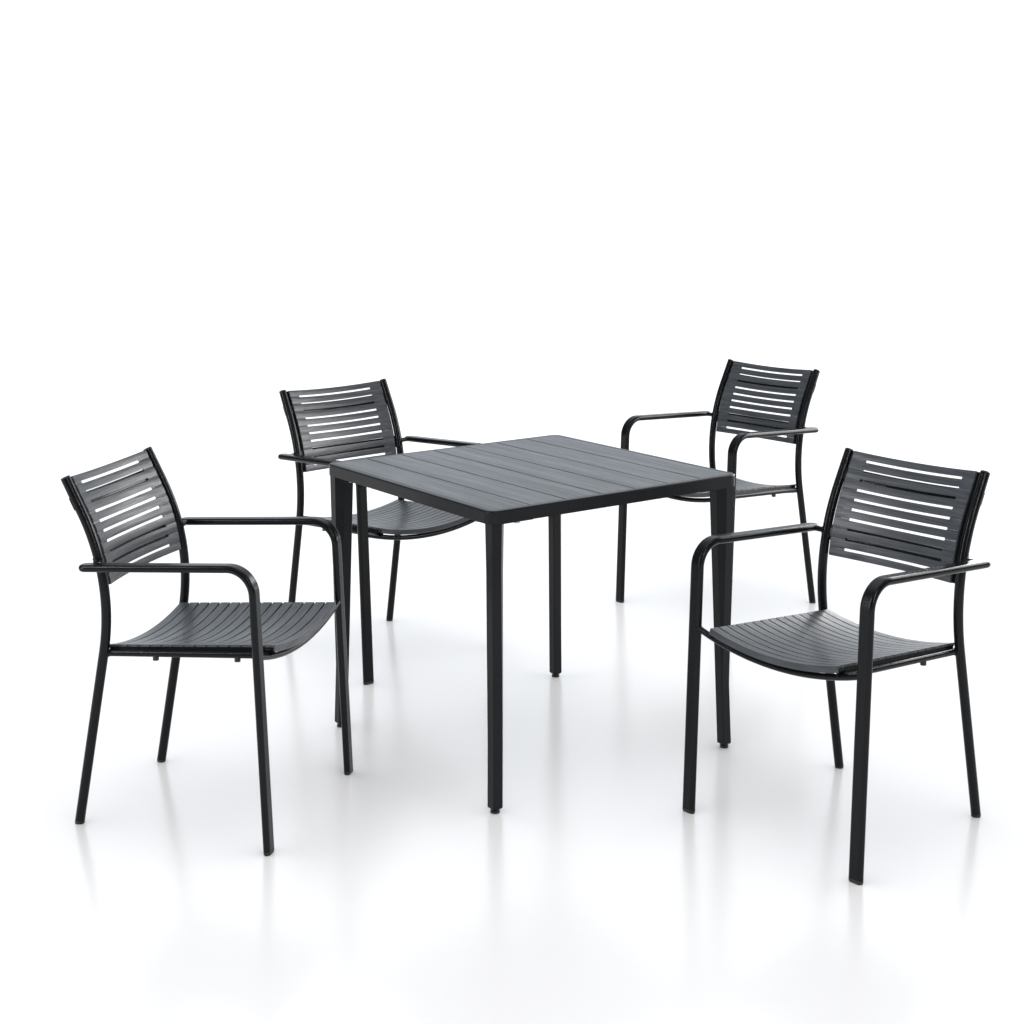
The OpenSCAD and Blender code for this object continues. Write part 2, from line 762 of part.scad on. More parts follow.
// Strip under the slat ends, with a web down to the side rail
module seat_strip() {
    deep = web_h + strip_t / 2;
    difference() {
        in_seat() translate([0, 0, seat_r]) rotate([0, -strip_arc, 0]) translate([0, 0, -strip_r]) {
            translate([0, seat_mid_y, 0]) cube([strip_w, seat_depth - 2 * strip_in, strip_t], center = true);
            translate([strip_w / 2 - web_t, web_back, -deep]) cube([web_t, web_front - web_back, deep]);
        }
        side_rail(rail_d);
    }
}

// ---- Back ----

// Sweeps an outline along the back's hollow: its X is the depth behind the face, its Y is up
module along_back(r, from, to) {
    translate([0, back_mid + back_r, 0]) rotate(from - 90)
        rotate_extrude(angle = to - from, $fn = curve_fn) translate([r, 0]) children();
}

// Section of a back slat with its crowned front, between its lower and upper edge
module back_section(low, high) {
    intersection() {
        translate([0, low]) square([back_t, high - low]);
        translate([back_crown_r, 0]) circle(back_crown_r);
    }
}

// Cutter that opens a slot over a back slat, between the wide slat ends
module slot_cutter() {
    along_back(back_r, -slot_arc, slot_arc)
        translate([-cut, (back_pitch - slot_h) / 2]) square([back_t + 2 * cut, back_pitch]);
}

module back_slats() {
    edge = (back_pitch - slat_hair) / 2;
    end = back_pitch / 2 - end_trim;
    color(slat_colour) for (i = [1:back_count]) at_post(back_slat_s(i)) difference() {
        along_back(back_r, -back_arc, back_arc)
            back_section(i == back_count ? -end : -edge, i == 1 ? end : edge);
        if (i > 1) slot_cutter();
        if (i < back_count) mirror([0, 0, 1]) slot_cutter();
    }
}

module back_bar(s, w, t) {
    arc = asin(rear_foot_x / bar_r);
    at_post(s) along_back(bar_r, -arc, arc) rotate(90) oval(w, t);
}

module back_bars(less) {
    for (slat = [upper_bar, lower_bar]) back_bar(back_slat_s(slat) - bar_drop, oval_w - less, oval_t - less);
}

module back_frame() {
    color(frame_colour) {
        difference() {
            back_bars(0);
            back_bars(2 * tube_wall);
            for (flip = [0, 1]) mirror([flip, 0, 0]) post_sweep();
        }
        for (flip = [0, 1]) mirror([flip, 0, 0]) difference() {
            along_post(back_top - back_len, back_top, side_strip_at)
                rotate(back_arc) square([side_strip_w, side_strip_t], center = true);
            back_bars(0);
        }
    }
}

// ---- Feet, caps and bumpers ----

module above_floor() {
    intersection() {
        children();
        translate([-chair_w, -chair_w, 0]) cube([2 * chair_w, 2 * chair_w, table_h]);
    }
}

module glides_half() {
    inner = 2 * (tube_wall + spigot_gap);
    above_floor() on_leg() {
        translate([0, 0, -glide_h]) linear_extrude(glide_h + sole_h)
            oval(oval_w - 2 * sole_in, oval_t - 2 * sole_in);
        translate([0, 0, sole_h]) linear_extrude(glide_h - sole_h) oval(oval_w, oval_t);
        linear_extrude(glide_h + spigot_len) oval(oval_w - inner, oval_t - inner);
    }
    above_floor() beside_post() at_post(0) {
        translate([0, 0, -glide_h]) cylinder(d = post_d - 2 * sole_in, h = glide_h + sole_h);
        translate([0, 0, sole_h]) cylinder(d = post_d, h = glide_h - sole_h);
        cylinder(d = post_d - inner, h = glide_h + spigot_len);
    }
}

module glides() {
    color(plastic_colour) for (flip = [0, 1]) mirror([flip, 0, 0]) glides_half();
}

module post_cap() {
    r = post_d / 2;
    rotate_extrude() {
        square([r - cap_round, cap_h]);
        square([r, cap_h - cap_round]);
        intersection() {
            translate([r - cap_round, cap_h - cap_round]) circle(cap_round);
            square([r, cap_h]);
        }
        translate([0, -spigot_len]) square([r - tube_wall - spigot_gap, spigot_len + cut]);
    }
}

module caps() {
    color(plastic_colour) for (flip = [0, 1]) mirror([flip, 0, 0]) {
        beside_post() at_post(post_len) post_cap();
    }
}

module bumpers() {
    color(plastic_colour) for (flip = [0, 1]) mirror([flip, 0, 0]) difference() {
        for (y = [bumper_front, -bumper_rear])
            translate([side_rail_x, y, side_rail_z + y * tan(side_rail_tilt) - rail_d / 2 - bumper_h])
                cylinder(d = bumper_d, h = bumper_h + rail_d / 2);
        side_rail(rail_d);
    }
}

// ---- The set ----

module chair(tag) {
    right_leg_arm();
    mirror([1, 0, 0]) right_leg_arm();
    right_post();
    mirror([1, 0, 0]) right_post();
    seat_frame();
    seat_slats();
    back_frame();
    back_slats();
    glides();
    caps();
    bumpers();
}

translate([table_x, table_y, 0]) {
    table_frame();
    table_slats();
    table_bearers();
    table_brackets();
    table_bolts();
    for (corner = leg_corners) {
        at_corner(corner[1]) table_leg();
        at_corner(corner[1]) leveller();
    }
    for (i = [0:len(chair_tags) - 1])
        translate([chair_x[i], chair_y[i], 0]) rotate(chair_turn[i] - 90) chair(chair_tags[i]);
}
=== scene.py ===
# %% [markdown]
# # A patio dining set: a slatted square table and four bent-tube armchairs
# The set comes in as solid parts on a fixed frame, and their shapes stay as they are. This lesson gives them
# what a workshop and a studio would: weld beads, powder coat, a pressed-in grain, a floor and light. Lengths
# are in metres and angles in radians.

# %% Load the set
import json
import math

import bmesh
import bpy
from mathutils import Matrix, Vector
from mathutils.bvhtree import BVHTree


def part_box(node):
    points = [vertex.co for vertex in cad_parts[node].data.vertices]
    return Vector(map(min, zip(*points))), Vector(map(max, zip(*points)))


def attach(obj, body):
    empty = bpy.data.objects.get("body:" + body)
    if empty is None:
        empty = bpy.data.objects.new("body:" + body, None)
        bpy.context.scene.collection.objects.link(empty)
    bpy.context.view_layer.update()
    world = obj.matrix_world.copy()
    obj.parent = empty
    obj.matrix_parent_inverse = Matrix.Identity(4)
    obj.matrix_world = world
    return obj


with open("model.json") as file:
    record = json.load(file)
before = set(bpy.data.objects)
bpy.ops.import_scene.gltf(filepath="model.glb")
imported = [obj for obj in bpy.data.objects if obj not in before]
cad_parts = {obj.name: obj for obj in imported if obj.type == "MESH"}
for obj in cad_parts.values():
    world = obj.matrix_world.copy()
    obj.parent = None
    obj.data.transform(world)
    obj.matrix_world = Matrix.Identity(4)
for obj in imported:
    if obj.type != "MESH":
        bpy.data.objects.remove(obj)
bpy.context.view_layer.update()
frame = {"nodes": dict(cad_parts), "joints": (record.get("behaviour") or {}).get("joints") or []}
nodes = frame["nodes"]

# %% [markdown]
# ## Where things stand
# The table's middle is the middle of its rim. A chair's own directions come from its sliding joint, which
# points the way the sitter faces. They could be typed in again as angles, but the joint already holds them,
# and with these two facts every later step can speak of "forward" and "right".

# %% Find the table and the chairs
rim_low, rim_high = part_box("table_frame")
table_mid = (rim_low + rim_high) / 2
facing = {j["child"]: Vector(j["axis"]) for j in frame["joints"] if j["child"].startswith("chair_")}
chairs = sorted(facing)


def chair_turn(chair):
    """Angle from +X to the sitter's right hand."""
    forward = facing[chair]
    return math.atan2(forward.y, forward.x) - math.pi / 2


for chair in chairs:
    print(chair, "is turned", round(math.degrees(chair_turn(chair)), 1), "degrees")

# %% [markdown]
# ## The camera
# The set is seen from standing height, about four metres and a half from the table, through a mild
# telephoto lens that looks slightly down. The frame is shifted down a little instead of tilting the camera
# further, as an architect's camera does, so that the legs stay almost upright.

# %% Set the camera
UP = Vector((0, 0, 1))
EYE_FROM_TABLE = Vector((-2.534, -3.476, 1.5499))
LOOK_ACROSS = Vector((0.5813, 0.8137, 0))
LOOK_DOWN = 0.090
ROLL = -0.004
SENSOR_WIDE_MM = 36
LENS_MM = 57.1
SHIFT_UP = -0.1956
ahead = LOOK_ACROSS.normalized()
eye = EYE_FROM_TABLE + Vector((table_mid.x, table_mid.y, 0))
look = ahead * math.cos(LOOK_DOWN) - UP * math.sin(LOOK_DOWN)
camera = bpy.data.objects.new("camera", bpy.data.cameras.new("camera"))
bpy.context.scene.collection.objects.link(camera)
camera.matrix_world = (Matrix.Translation(eye) @ look.to_track_quat("-Z", "Y").to_matrix().to_4x4()
                       @ Matrix.Rotation(ROLL, 4, "Z"))
camera.data.sensor_width = SENSOR_WIDE_MM
camera.data.lens = LENS_MM
camera.data.shift_y = SHIFT_UP
bpy.context.scene.camera = camera
print("camera", round((eye - table_mid).length, 2), "m from the table")

# %% [markdown]
# ## Writing materials as sums
# A material in Blender is a graph of nodes. Grain and gloss are easier to read as sums, so a value that
# comes out of a node is wrapped in a Feed, and Python's own signs add the Math nodes.

# %% A value that can be reckoned with
class Feed:
    """A number, a colour or a vector that a node gives out."""

    def __init__(self, recipe, socket):
        self.recipe, self.socket = recipe, socket

    def sum(self, operation, *values):
        return self.recipe.node("ShaderNodeMath", {"operation": operation}, dict(enumerate(values)))

    def __add__(self, other):
        return self.sum("ADD", self, other)

    def __radd__(self, other):
        return self.sum("ADD", other, self)

    def __sub__(self, other):
        return self.sum("SUBTRACT", self, other)

    def __rsub__(self, other):
        return self.sum("SUBTRACT", other, self)

    def __mul__(self, other):
        return self.sum("MULTIPLY", self, other)

    def __rmul__(self, other):
        return self.sum("MULTIPLY", other, self)

    def from_to(self, low, high):
        """0 at low, 1 at high, and straight in between."""
        return self.recipe.node(
            "ShaderNodeMapRange", {"clamp": True}, {"Value": self, "From Min": low, "From Max": high})


print("a Feed can be added, subtracted and multiplied")

# %% [markdown]
# Every other node comes from one method, which sets the node up first and then fills its sockets. A recipe
# also knows the few things that all the paints here are made of: a place on the set, noise, a mix of two
# colours and a raised surface. Places are told in the piece's own coordinates, so a grain never slides when
# a chair moves.

# %% One material, one recipe
# A Mix node has sockets for every kind of value. These are the numbers of its share and of its colours.
MIX_SHARE, MIX_DARK, MIX_LIGHT, MIX_COLOUR_OUT = 0, 6, 7, 2


class Recipe:
    """A node tree that ends in a shader, built step by step."""

    def __init__(self, owner, shader):
        owner.use_nodes = True
        self.owner, self.tree = owner, owner.node_tree
        self.shader = self.tree.nodes[shader]

    def fill(self, node, values):
        """Puts a number or a colour in each named socket, or a link to the node that makes it."""
        for key, value in values.items():
            if isinstance(value, Feed):
                self.tree.links.new(value.socket, node.inputs[key])
            else:
                node.inputs[key].default_value = value

    def node(self, kind, settings, values, out=0):
        """A new node, set up and filled, as the Feed of one of its outputs."""
        made = self.tree.nodes.new(kind)
        for key, value in settings.items():
            setattr(made, key, value)
        self.fill(made, values)
        return Feed(self, made.outputs[out])

    def own_place(self, turn, stretch):
        """A point on the set, seen by a piece that is turned about Z, and stretched to draw out a grain."""
        spot = self.node("ShaderNodeTexCoord", {}, {}, "Object")
        own = self.node(
            "ShaderNodeVectorRotate", {"rotation_type": "Z_AXIS"}, {"Vector": spot, "Angle": -turn})
        return self.node("ShaderNodeVectorMath", {"operation": "MULTIPLY"}, {0: own, 1: stretch})

    def noise(self, place, scale, detail):
        """Cloudy values round 0.5 that change about scale times in one unit of the place."""
        return self.node("ShaderNodeTexNoise", {}, {"Vector": place, "Scale": scale, "Detail": detail})

    def tint(self, share, dark, light):
        """The dark colour at share 0, the light one at 1."""
        return self.node("ShaderNodeMix", {"data_type": "RGBA"}, {
            MIX_SHARE: share, MIX_DARK: (*dark, 1), MIX_LIGHT: (*light, 1)}, MIX_COLOUR_OUT)

    def relief(self, height, depth):
        """The surface tipped as if a height from 0 to 1 stood up by that depth in metres."""
        return self.node("ShaderNodeBump", {}, {"Height": height, "Distance": depth, "Strength": 1.0})


def new_paint(name):
    """An empty material that ends in Blender's all-round shader."""
    return Recipe(bpy.data.materials.new(name), "Principled BSDF")


print("a recipe can mix noise, tint and relief")

# %% [markdown]
# ## The floor
# The set stands on a white studio floor with a slight gloss, which shows a blurred upside-down leg under
# each foot. A plane far wider than the view has no edge in the picture. Its gloss is mixed in as a fixed
# share, because a plain varnish would turn to a mirror far away, where it is seen at a low angle. Round the
# set the floor's colour is painted a shade greyer, a painted shade that keeps its faint shadows from washing
# out.

# %% Lay the floor
FLOOR_HALF = 30.0
GLOSS_SHARE = 0.28
GLOSS_BLUR = 0.21
# Painted shade: the floor's colour is grey near the set and fades to white a few metres away.
PAINTED_SHADE_REACH, WHITE_FROM = 2.0, 4.5
WHITE = (1, 1, 1)
PAINTED_SHADE_GREY = (0.86, 0.86, 0.87)
floor_mesh = bpy.data.meshes.new("floor")
floor_corners = [(x * FLOOR_HALF, y * FLOOR_HALF, 0) for x, y in ((-1, -1), (1, -1), (1, 1), (-1, 1))]
floor_mesh.from_pydata(floor_corners, [], [(0, 1, 2, 3)])
floor = bpy.data.objects.new("floor", floor_mesh)
bpy.context.scene.collection.objects.link(floor)
floor_paint = new_paint("white_studio_floor")
away = floor_paint.node("ShaderNodeVectorMath", {"operation": "LENGTH"}, {
    0: floor_paint.node("ShaderNodeTexCoord", {}, {}, "Object")}, "Value")
# The base colour carries the painted shade round the set, grey near it and white further out.
floor_paint.fill(floor_paint.shader, {
    "Base Color": floor_paint.tint(away.from_to(PAINTED_SHADE_REACH, WHITE_FROM), PAINTED_SHADE_GREY, WHITE),
    "Roughness": 1.0,
    "Specular IOR Level": 0.0})
gloss = floor_paint.node("ShaderNodeBsdfGlossy", {}, {"Color": (*WHITE, 1), "Roughness": GLOSS_BLUR})
mixed = floor_paint.node("ShaderNodeMixShader", {}, {
    0: GLOSS_SHARE, 1: Feed(floor_paint, floor_paint.shader.outputs[0]), 2: gloss})
floor_paint.fill(floor_paint.tree.nodes["Material Output"], {"Surface": mixed})
floor_mesh.materials.append(floor_paint.owner)
print("floor reaches", FLOOR_HALF, "m each way")

# %% [markdown]
# ## The light
# The studio is white and even, which keeps the floor bright and the shadows faint. Dark paint that mirrors a
# white room all round turns grey, though, so mirror rays find a dim room, and only its far wall behind the
# set is pale, and a little cool, which gives the table its blue-grey sheen. Soft boxes are set where the
# slats mirror them, and tall strips draw long lines down the tubes.

# %% Paint the room
ROOM_WHITE, ROOM_DIM = 1.42, 0.03
WALL_GLOW, WALL_FROM = 1.0, 0.45
TOP_GLOW, TOP_FROM = 0.30, 0.2
COOL_WALL = (0.90, 0.98, 1.06)
room = bpy.data.worlds.new("studio_room")
bpy.context.scene.world = room
bpy.context.scene.view_settings.view_transform = "Standard"
paint_room = Recipe(room, "Background")
heading = paint_room.node("ShaderNodeTexCoord", {}, {}, "Generated")
toward_wall = paint_room.node("ShaderNodeVectorMath", {"operation": "DOT_PRODUCT"}, {
    0: heading, 1: ahead}, "Value").from_to(WALL_FROM, 1.0)
toward_top = paint_room.node("ShaderNodeSeparateXYZ", {}, {0: heading}, "Z").from_to(TOP_FROM, 1.0)
mirrored = paint_room.node("ShaderNodeLightPath", {}, {}, "Is Glossy Ray")
dim = ROOM_DIM + toward_wall * WALL_GLOW + toward_top * TOP_GLOW
paint_room.fill(paint_room.shader, {
    "Color": paint_room.tint(mirrored * toward_wall, WHITE, COOL_WALL),
    "Strength": ROOM_WHITE + mirrored * (dim - ROOM_WHITE)})
print("room: white", ROOM_WHITE, "and dim", ROOM_DIM)

# %% [markdown]
# Lamps that lit the floor as well would wash out the blurred legs in it, so all but the overhead one are
# screened from the floor by light linking. The box at the right gives only sheen: its light would flatten
# the slats, and its mirror image is what draws them. Each lamp's place is told from a point under the middle
# of the table top.

# %% Hang the lamps
AIM_HIGH = 0.5
middle = Vector((table_mid.x, table_mid.y, AIM_HIGH))
aside = ahead.cross(UP)
screened = bpy.data.collections.new("screened_from_the_lamps")
screened.objects.link(floor)
screened.collection_objects[0].light_linking.link_state = "EXCLUDE"


def soft_box(name, place, wide, high, glow, on_floor=False, sheen_only=False):
    """A rectangular lamp turned towards the set, as bright as glow all over its face."""
    lamp = bpy.data.lights.new(name, "AREA")
    lamp.shape = "RECTANGLE"
    lamp.size, lamp.size_y = wide, high
    lamp.energy = glow * math.pi * wide * high
    holder = bpy.data.objects.new(name, lamp)
    bpy.context.scene.collection.objects.link(holder)
    holder.location = middle + place
    holder.rotation_euler = (-place).to_track_quat("-Z", "Y").to_euler()
    holder.visible_diffuse = not sheen_only
    if not on_floor:
        holder.light_linking.receiver_collection = screened


soft_box("overhead", 3.0 * UP, wide=2.4, high=2.4, glow=1.0, on_floor=True)
soft_box("left_strip", -3.0 * aside - 1.6 * ahead + 1.3 * UP, wide=0.18, high=2.6, glow=34)
soft_box("near_strip", 1.5 * aside - 3.6 * ahead + 1.9 * UP, wide=0.18, high=2.2, glow=30)
soft_box(
    "right_box", 2.6 * aside + 1.45 * ahead + 1.05 * UP, wide=2.9, high=1.7, glow=8.5, sheen_only=True)
print("lamps:", [lamp.name for lamp in bpy.data.lights])

# %% [markdown]
# ## Powder coat
# The tubes, the rim and the table legs are sprayed with a fine charcoal powder that melts in an oven. It is
# smooth but never flat: the melt leaves a shallow orange peel a millimetre or two across, the gloss is
# clouded, and the powder's own grain just shows. Each of the three is a noise of its own size, because one
# noise alone looks the same at every distance. The rim and the table legs are duller than the tubes.

# %% Mix the powder coat
EVERY_WAY = (1, 1, 1)
# How often each changes in a metre
CLOUDS, PEEL, POWDER = 14.0, 620.0, 2600.0
PEEL_DEEP = 0.00020
COAT_SHINE = 0.22
# Shares that the noises have in shade and in height, and how much blur they add to the gloss
CLOUD_SHADE, POWDER_SHADE = 0.6, 0.4
PEEL_HEIGHT, POWDER_HEIGHT = 0.75, 0.25
CLOUD_BLUR, POWDER_BLUR = 0.08, 0.06


def powder_coat(name, deep, pale, blur):
    """A sprayed finish between two shades; blur is the roughness of its glossiest spots."""
    recipe = new_paint(name)
    place = recipe.own_place(0.0, EVERY_WAY)
    cloud = recipe.noise(place, CLOUDS, detail=3)
    peel = recipe.noise(place, PEEL, detail=2)
    powder = recipe.noise(place, POWDER, detail=1)
    recipe.fill(recipe.shader, {
        "Base Color": recipe.tint(cloud * CLOUD_SHADE + powder * POWDER_SHADE, deep, pale),
        "Roughness": blur + cloud * CLOUD_BLUR + powder * POWDER_BLUR,
        "Specular IOR Level": COAT_SHINE,
        "Normal": recipe.relief(peel * PEEL_HEIGHT + powder * POWDER_HEIGHT, PEEL_DEEP)})
    return recipe.owner


tube_coat = powder_coat(
    "charcoal_tube_coat", deep=(0.0018, 0.0022, 0.0030), pale=(0.0038, 0.0044, 0.0054), blur=0.13)
rim_coat = powder_coat(
    "charcoal_rim_coat", deep=(0.0030, 0.0036, 0.0046), pale=(0.0058, 0.0067, 0.0081), blur=0.24)
print("powder coats:", tube_coat.name, rim_coat.name)

# %% [markdown]
# ## Slats
# The slats are coated too, but pressed with a fine wood grain first, so they look brushed: thin streaks run
# along each slat, and they catch light at a low angle. Carved into the meshes, such streaks would take
# millions of faces, so the grain is noise drawn out along the slat, in shade, gloss and relief at once. It
# lies in the chair's own directions, so each chair has its own paint, turned as the chair is. Clear lacquer
# sits on the raised streaks, so they shine more than the hollows between them.

# %% Mix the slat finish
SLAT_DEEP, SLAT_PALE = (0.0235, 0.0270, 0.0320), (0.0450, 0.0500, 0.0575)
SLAT_SHINE, LACQUER, LACQUER_BLUR = 0.30, 0.5, 0.28
GRAIN_RELIEF = 0.00075
# Bands are the same grain drawn wider, which changes this share as often. Grit changes so often in a metre.
BAND_PART = 0.14
GRIT = 1900.0
# Shares of bands, strands and grit in shade and height, the stretch of shades that is used, and the blur
BAND_SHADE, STRAND_SHADE, GRIT_SHADE = 0.3, 0.55, 0.15
SHADE_FROM, SHADE_TO = 0.37, 0.63
STRAND_HEIGHT, GRIT_HEIGHT = 0.75, 0.25
SLAT_BLUR, STRAND_BLUR, GRIT_BLUR = 0.26, 0.14, 0.04


def slat_coat(name, turn, stretch):
    """A grained finish; stretch holds how often the grain changes along each of the piece's own axes."""
    recipe = new_paint(name)
    strand_place = recipe.own_place(turn, stretch)
    band = recipe.noise(recipe.own_place(turn, [BAND_PART * s for s in stretch]), 1.0, detail=2)
    strand = recipe.noise(strand_place, 1.0, detail=3)
    grit = recipe.noise(recipe.own_place(0.0, EVERY_WAY), GRIT, detail=1)
    mixed_grain = band * BAND_SHADE + strand * STRAND_SHADE + grit * GRIT_SHADE
    shade = mixed_grain.from_to(SHADE_FROM, SHADE_TO)
    recipe.fill(recipe.shader, {
        "Base Color": recipe.tint(shade, SLAT_DEEP, SLAT_PALE),
        "Roughness": SLAT_BLUR + strand * STRAND_BLUR + grit * GRIT_BLUR,
        "Specular IOR Level": SLAT_SHINE,
        "Coat Weight": shade * LACQUER,
        "Coat Roughness": LACQUER_BLUR,
        "Normal": recipe.relief(strand * STRAND_HEIGHT + grit * GRIT_HEIGHT, GRAIN_RELIEF)})
    return recipe.owner


print("a slat's grain is", round(GRAIN_RELIEF * 1000, 2), "mm deep")

# %% [markdown]
# The table's slats run along Y. A chair's slats run from side to side, and the grain changes fast across
# them: forward on the seat, upwards on the back. One paint with its directions swapped serves all three.

# %% Grain the table and the chairs
# How often the grain changes in a metre
ALONG, ACROSS, THROUGH = 8.0, 240.0, 60.0
table_slat_coat = slat_coat("table_slat_coat", 0.0, (ACROSS, ALONG, THROUGH))
seat_coats, back_coats = {}, {}
for chair in chairs:
    turn = chair_turn(chair)
    seat_coats[chair] = slat_coat(chair + "_seat_coat", turn, (ALONG, ACROSS, THROUGH))
    back_coats[chair] = slat_coat(chair + "_back_coat", turn, (ALONG, THROUGH, ACROSS))
print("slat coats:", 1 + len(seat_coats) + len(back_coats))

# %% [markdown]
# ## Plastic and steel
# Glides, caps, bumpers and levellers are moulded plastic: duller than the tubes, and pitted by the mould.
# The bolts under the top are zinc-plated steel, with fine rings from the tool and a cloudy plating. The rings
# are a noise that changes fast upwards and slowly sideways.

# %% Mix the plastic and the steel
PLASTIC_DEEP, PLASTIC_PALE = (0.0075, 0.0078, 0.0083), (0.0135, 0.0138, 0.0145)
PLASTIC_CLOUDS, PITS, PIT_DEEP = 60.0, 1500.0, 0.00015
PLASTIC_BLUR, PIT_BLUR = 0.42, 0.16
ZINC_DEEP, ZINC_PALE = (0.36, 0.37, 0.38), (0.62, 0.63, 0.64)
SPANGLES, RINGS, RING_DEEP = 420.0, (40, 40, 2600), 0.00008
ZINC_BLUR, SPANGLE_BLUR, RING_BLUR = 0.26, 0.14, 0.06


def moulded_plastic(name):
    """Dull plastic with fine pits."""
    recipe = new_paint(name)
    place = recipe.own_place(0.0, EVERY_WAY)
    pits = recipe.noise(place, PITS, detail=2)
    cloud = recipe.noise(place, PLASTIC_CLOUDS, detail=2)
    recipe.fill(recipe.shader, {
        "Base Color": recipe.tint(cloud, PLASTIC_DEEP, PLASTIC_PALE),
        "Roughness": PLASTIC_BLUR + pits * PIT_BLUR,
        "Normal": recipe.relief(pits, PIT_DEEP)})
    return recipe.owner


def zinc_steel(name):
    """Bright metal with cloudy spangles and turned rings."""
    recipe = new_paint(name)
    spangle = recipe.noise(recipe.own_place(0.0, EVERY_WAY), SPANGLES, detail=2)
    rings = recipe.noise(recipe.own_place(0.0, RINGS), 1.0, detail=1)
    recipe.fill(recipe.shader, {
        "Base Color": recipe.tint(spangle, ZINC_DEEP, ZINC_PALE),
        "Metallic": 1.0,
        "Roughness": ZINC_BLUR + spangle * SPANGLE_BLUR + rings * RING_BLUR,
        "Normal": recipe.relief(rings, RING_DEEP)})
    return recipe.owner


plastic = moulded_plastic("moulded_plastic")
steel = zinc_steel("zinc_plated_steel")
print("fittings:", plastic.name, steel.name)

# %% [markdown]
# Each part's name says what it is, so the name picks its finish. A list of fifty-seven names would say the
# same at far greater length, and would go stale when a part is added.

# %% Coat every part
CHAIR_NAME_LONG = len("chair_a")


def coat_of(node):
    """The finish that a part wears, from its name."""
    chair = node[:CHAIR_NAME_LONG]
    if node.endswith("seat_slats"):
        return seat_coats[chair]
    if node.endswith("back_slats"):
        return back_coats[chair]
    if node == "table_slats":
        return table_slat_coat
    if node == "table_bolts":
        return steel
    if node.endswith(("glides", "caps", "bumpers")) or node.startswith("leveller"):
        return plastic
    return tube_coat if node.startswith("chair") else rim_coat


for name, node in nodes.items():
    node.data.materials.clear()
    node.data.materials.append(coat_of(name))
print("coated:", len(nodes), "parts")

# %% [markdown]
# ## Weld beads
# The rails and the arm stubs end in saddles that are welded to the legs and the posts. The welder's bead
# fills the corner all the way round, with a ripple every few millimetres, where the pool of metal froze
# before the next drop. A ring could be laid by hand at each joint, but the parts already know where they
# touch. An edge belongs to a seam if one of its two faces lies on the other tube and the other face doesn't.

# %% Find the seams between two parts
TOUCH = 0.00018
SAME_POINT = 0.00002


def seam_edges(guest, host):
    """Pairs of points along every seam where the guest's end faces meet the host."""
    corners = [v.co for v in host.data.vertices]
    skin = BVHTree.FromPolygons(corners, [p.vertices[:] for p in host.data.polygons])
    shape = bmesh.new()
    shape.from_mesh(guest.data)
    bmesh.ops.remove_doubles(shape, verts=shape.verts, dist=SAME_POINT)

    def touches(point):
        return skin.find_nearest(point, TOUCH)[0] is not None

    def lies_on_host(face):
        return all(touches(v.co) for v in face.verts) and touches(face.calc_center_median())

    lying = {face: lies_on_host(face) for face in shape.faces}
    found = [[tuple(v.co) for v in e.verts] for e in shape.edges
             if len(e.link_faces) == 2 and lying[e.link_faces[0]] != lying[e.link_faces[1]]]
    shape.free()
    return found


print("two parts touch where they are within", round(TOUCH * 1000, 2), "mm")

# %% [markdown]
# The edges come in no order, and a bead needs to know which point follows which. Each point remembers its
# neighbours, and a run is walked from neighbour to neighbour until it ends or comes round to its start.

# %% Join the edges into runs
def chains(edges):
    """Joins edges that share a point into runs of points."""
    beside = {}
    for a, b in edges:
        beside.setdefault(a, []).append(b)
        beside.setdefault(b, []).append(a)
    runs = []
    while beside:
        start = min(beside, key=lambda p: (len(beside[p]) != 1, p))
        run = [start]
        while beside.get(run[-1]):
            here, there = run[-1], beside[run[-1]].pop(0)
            beside[there].remove(here)
            run.append(there)
            for point in (here, there):
                if not beside.get(point, True):
                    del beside[point]
        beside.pop(start, None)
        runs.append([Vector(p) for p in run])
    return runs


def steps_of(run):
    """The lengths of a run's straight steps."""
    return [(b - a).length for a, b in zip(run, run[1:])]


for run in chains(seam_edges(nodes["chair_a_seat_frame"], nodes["chair_a_right_post"])):
    print("chair_a's seat frame meets its right post along", round(sum(steps_of(run)) * 1000), "mm")

# %% [markdown]
# A bead is a thin round string of rings that swell and shrink along the seam. A plain curve with a round
# section would do for a smooth wire, but a weld shows its ripples, so a rule places and sizes every ring.

# %% Lay a bead along a run
BEAD_R = 0.0019
RIPPLE_LONG, RIPPLE_DEEP = 0.0031, 0.17
RING_STEP, RING_SIDES = 0.00062, 8
FEWEST_RINGS = 4


def evenly(run, step):
    """Points at equal steps along a run."""
    lengths = steps_of(run)
    count = max(FEWEST_RINGS, round(sum(lengths) / step))
    points, seg, done = [], 0, 0.0
    for k in range(count + 1):
        target = sum(lengths) * k / count
        while seg < len(lengths) - 1 and done + lengths[seg] < target:
            done += lengths[seg]
            seg += 1
        share = (target - done) / lengths[seg] if lengths[seg] else 0
        points.append(run[seg].lerp(run[seg + 1], min(1, share)))
    return points


def bead_rings(shape, points, closed):
    """A ring of corners round each point, square to the way the bead runs."""
    count = len(points)
    centre = sum(points, Vector()) / count
    around = [2 * math.pi * n / RING_SIDES for n in range(RING_SIDES)]
    rings = []
    for k, point in enumerate(points):
        before = points[k - 1] if closed or k else point
        after = points[(k + 1) % count] if closed or k < count - 1 else point
        along = (after - before).normalized()
        outward = (point - centre).cross(along).cross(along).normalized()
        side = along.cross(outward)
        wave = abs(math.sin(math.pi * k * RING_STEP / RIPPLE_LONG))
        radius = BEAD_R * (1 - RIPPLE_DEEP + RIPPLE_DEEP * wave)
        spokes = [math.cos(a) * outward + math.sin(a) * side for a in around]
        rings.append([shape.verts.new(point + radius * spoke) for spoke in spokes])
    return rings


def lay_bead(shape, run):
    """Adds a rippled round bead along one run to a bmesh."""
    closed = (run[0] - run[-1]).length < SAME_POINT
    points = evenly(run, RING_STEP)
    if closed:
        points.pop()
    rings = bead_rings(shape, points, closed)
    for k in range(len(rings) if closed else len(rings) - 1):
        ring, follow = rings[k], rings[(k + 1) % len(rings)]
        for n in range(RING_SIDES):
            m = (n + 1) % RING_SIDES
            shape.faces.new((ring[n], ring[m], follow[m], follow[n]))
    if not closed:
        shape.faces.new(rings[0][::-1])
        shape.faces.new(rings[-1])


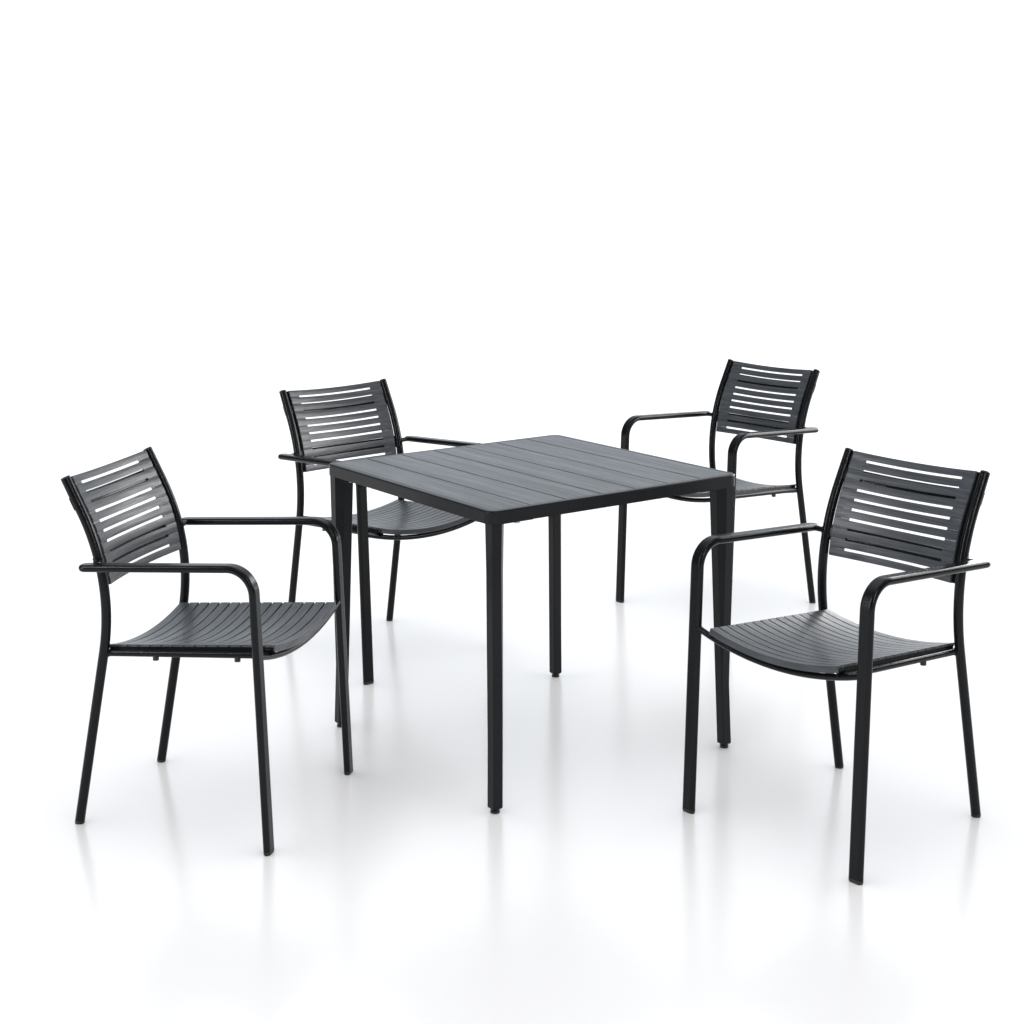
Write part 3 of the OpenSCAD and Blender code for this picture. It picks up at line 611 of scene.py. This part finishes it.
print("bead:", round(2 * BEAD_R * 1000, 1), "mm thick, a ripple every", round(RIPPLE_LONG * 1000, 1), "mm")

# %% [markdown]
# A chair is welded where its seat frame meets the legs and the posts, where each arm meets its post, and
# where the back frame meets both posts. All its beads make one piece, which rides with the chair and wears
# its coat, because a chair is welded first and sprayed afterwards.

# %% Weld the chairs
SHORTEST_SEAM = 0.02


def add_piece(name, shape, chair):
    """Turns a bmesh into a coated piece that moves with its chair, and gives its mesh back."""
    mesh = bpy.data.meshes.new(name)
    shape.to_mesh(mesh)
    shape.free()
    mesh.materials.append(tube_coat)
    piece = bpy.data.objects.new(name, mesh)
    bpy.context.scene.collection.objects.link(piece)
    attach(piece, chair)
    return mesh


def weld(chair):
    """All the beads of one chair; tells how many there are."""
    sides = ("right", "left")
    meetings = [("seat_frame", side + part) for side in sides for part in ("_leg_arm", "_post")]
    meetings += [(side + "_leg_arm", side + "_post") for side in sides]
    meetings += [("back_frame", side + "_post") for side in sides]
    shape = bmesh.new()
    laid = 0
    for guest, host in meetings:
        for run in chains(seam_edges(nodes[f"{chair}_{guest}"], nodes[f"{chair}_{host}"])):
            if sum(steps_of(run)) > SHORTEST_SEAM:
                lay_bead(shape, run)
                laid += 1
    bmesh.ops.recalc_face_normals(shape, faces=shape.faces)
    add_piece(chair + "_weld_beads", shape, chair).shade_smooth()
    return laid


print("beads on each chair:", {chair: weld(chair) for chair in chairs})

# %% [markdown]
# ## Gussets under the front slat
# At each end of the front slat a small upright plate closes the corner between its lip, the strip and the
# front rail. It is a flat bar cut to length with its edges broken, so a stretched cube with a bevel is all
# it takes. It is measured in the chair's own directions: how far right, forward and up a point lies.

# %% Fit the gussets
GUSSET_SIZE = (0.003, 0.0275, 0.0170)
UNDER_SLAT, END_INSET = 0.0060, 0.0024
LIP_THICK, INTO_LIP = 0.0035, 0.001
CORNER_WIDE = 0.012
BROKEN_EDGE = 0.0006


def gussets(chair):
    """Both plates of one chair; tells how high the last one reaches."""
    thick, long, high = GUSSET_SIZE
    turned = Matrix.Rotation(chair_turn(chair), 3, "Z")
    own = [turned.inverted() @ v.co for v in nodes[chair + "_seat_slats"].data.vertices]
    left, right = min(p.x for p in own), max(p.x for p in own)
    front = max(p.y for p in own)
    shape = bmesh.new()
    for edge, inward in ((left, 1), (right, -1)):
        corner = [p for p in own if abs(p.x - edge) < CORNER_WIDE and front - p.y < long]
        top = max(p.z for p in corner) - UNDER_SLAT
        across = edge + inward * (END_INSET + thick / 2)
        forward = front - LIP_THICK - long / 2 + INTO_LIP
        place = Matrix.Translation(Vector((across, forward, top - high / 2)))
        stretched = Matrix.Diagonal((thick, long, high, 1))
        bmesh.ops.create_cube(shape, size=1, matrix=turned.to_4x4() @ place @ stretched)
    bmesh.ops.bevel(
        shape, geom=shape.edges, offset=BROKEN_EDGE, segments=2, profile=0.5, affect="EDGES")
    add_piece(chair + "_front_gussets", shape, chair)
    return round(top, 4)


print("gussets reach up to", {chair: gussets(chair) for chair in chairs})
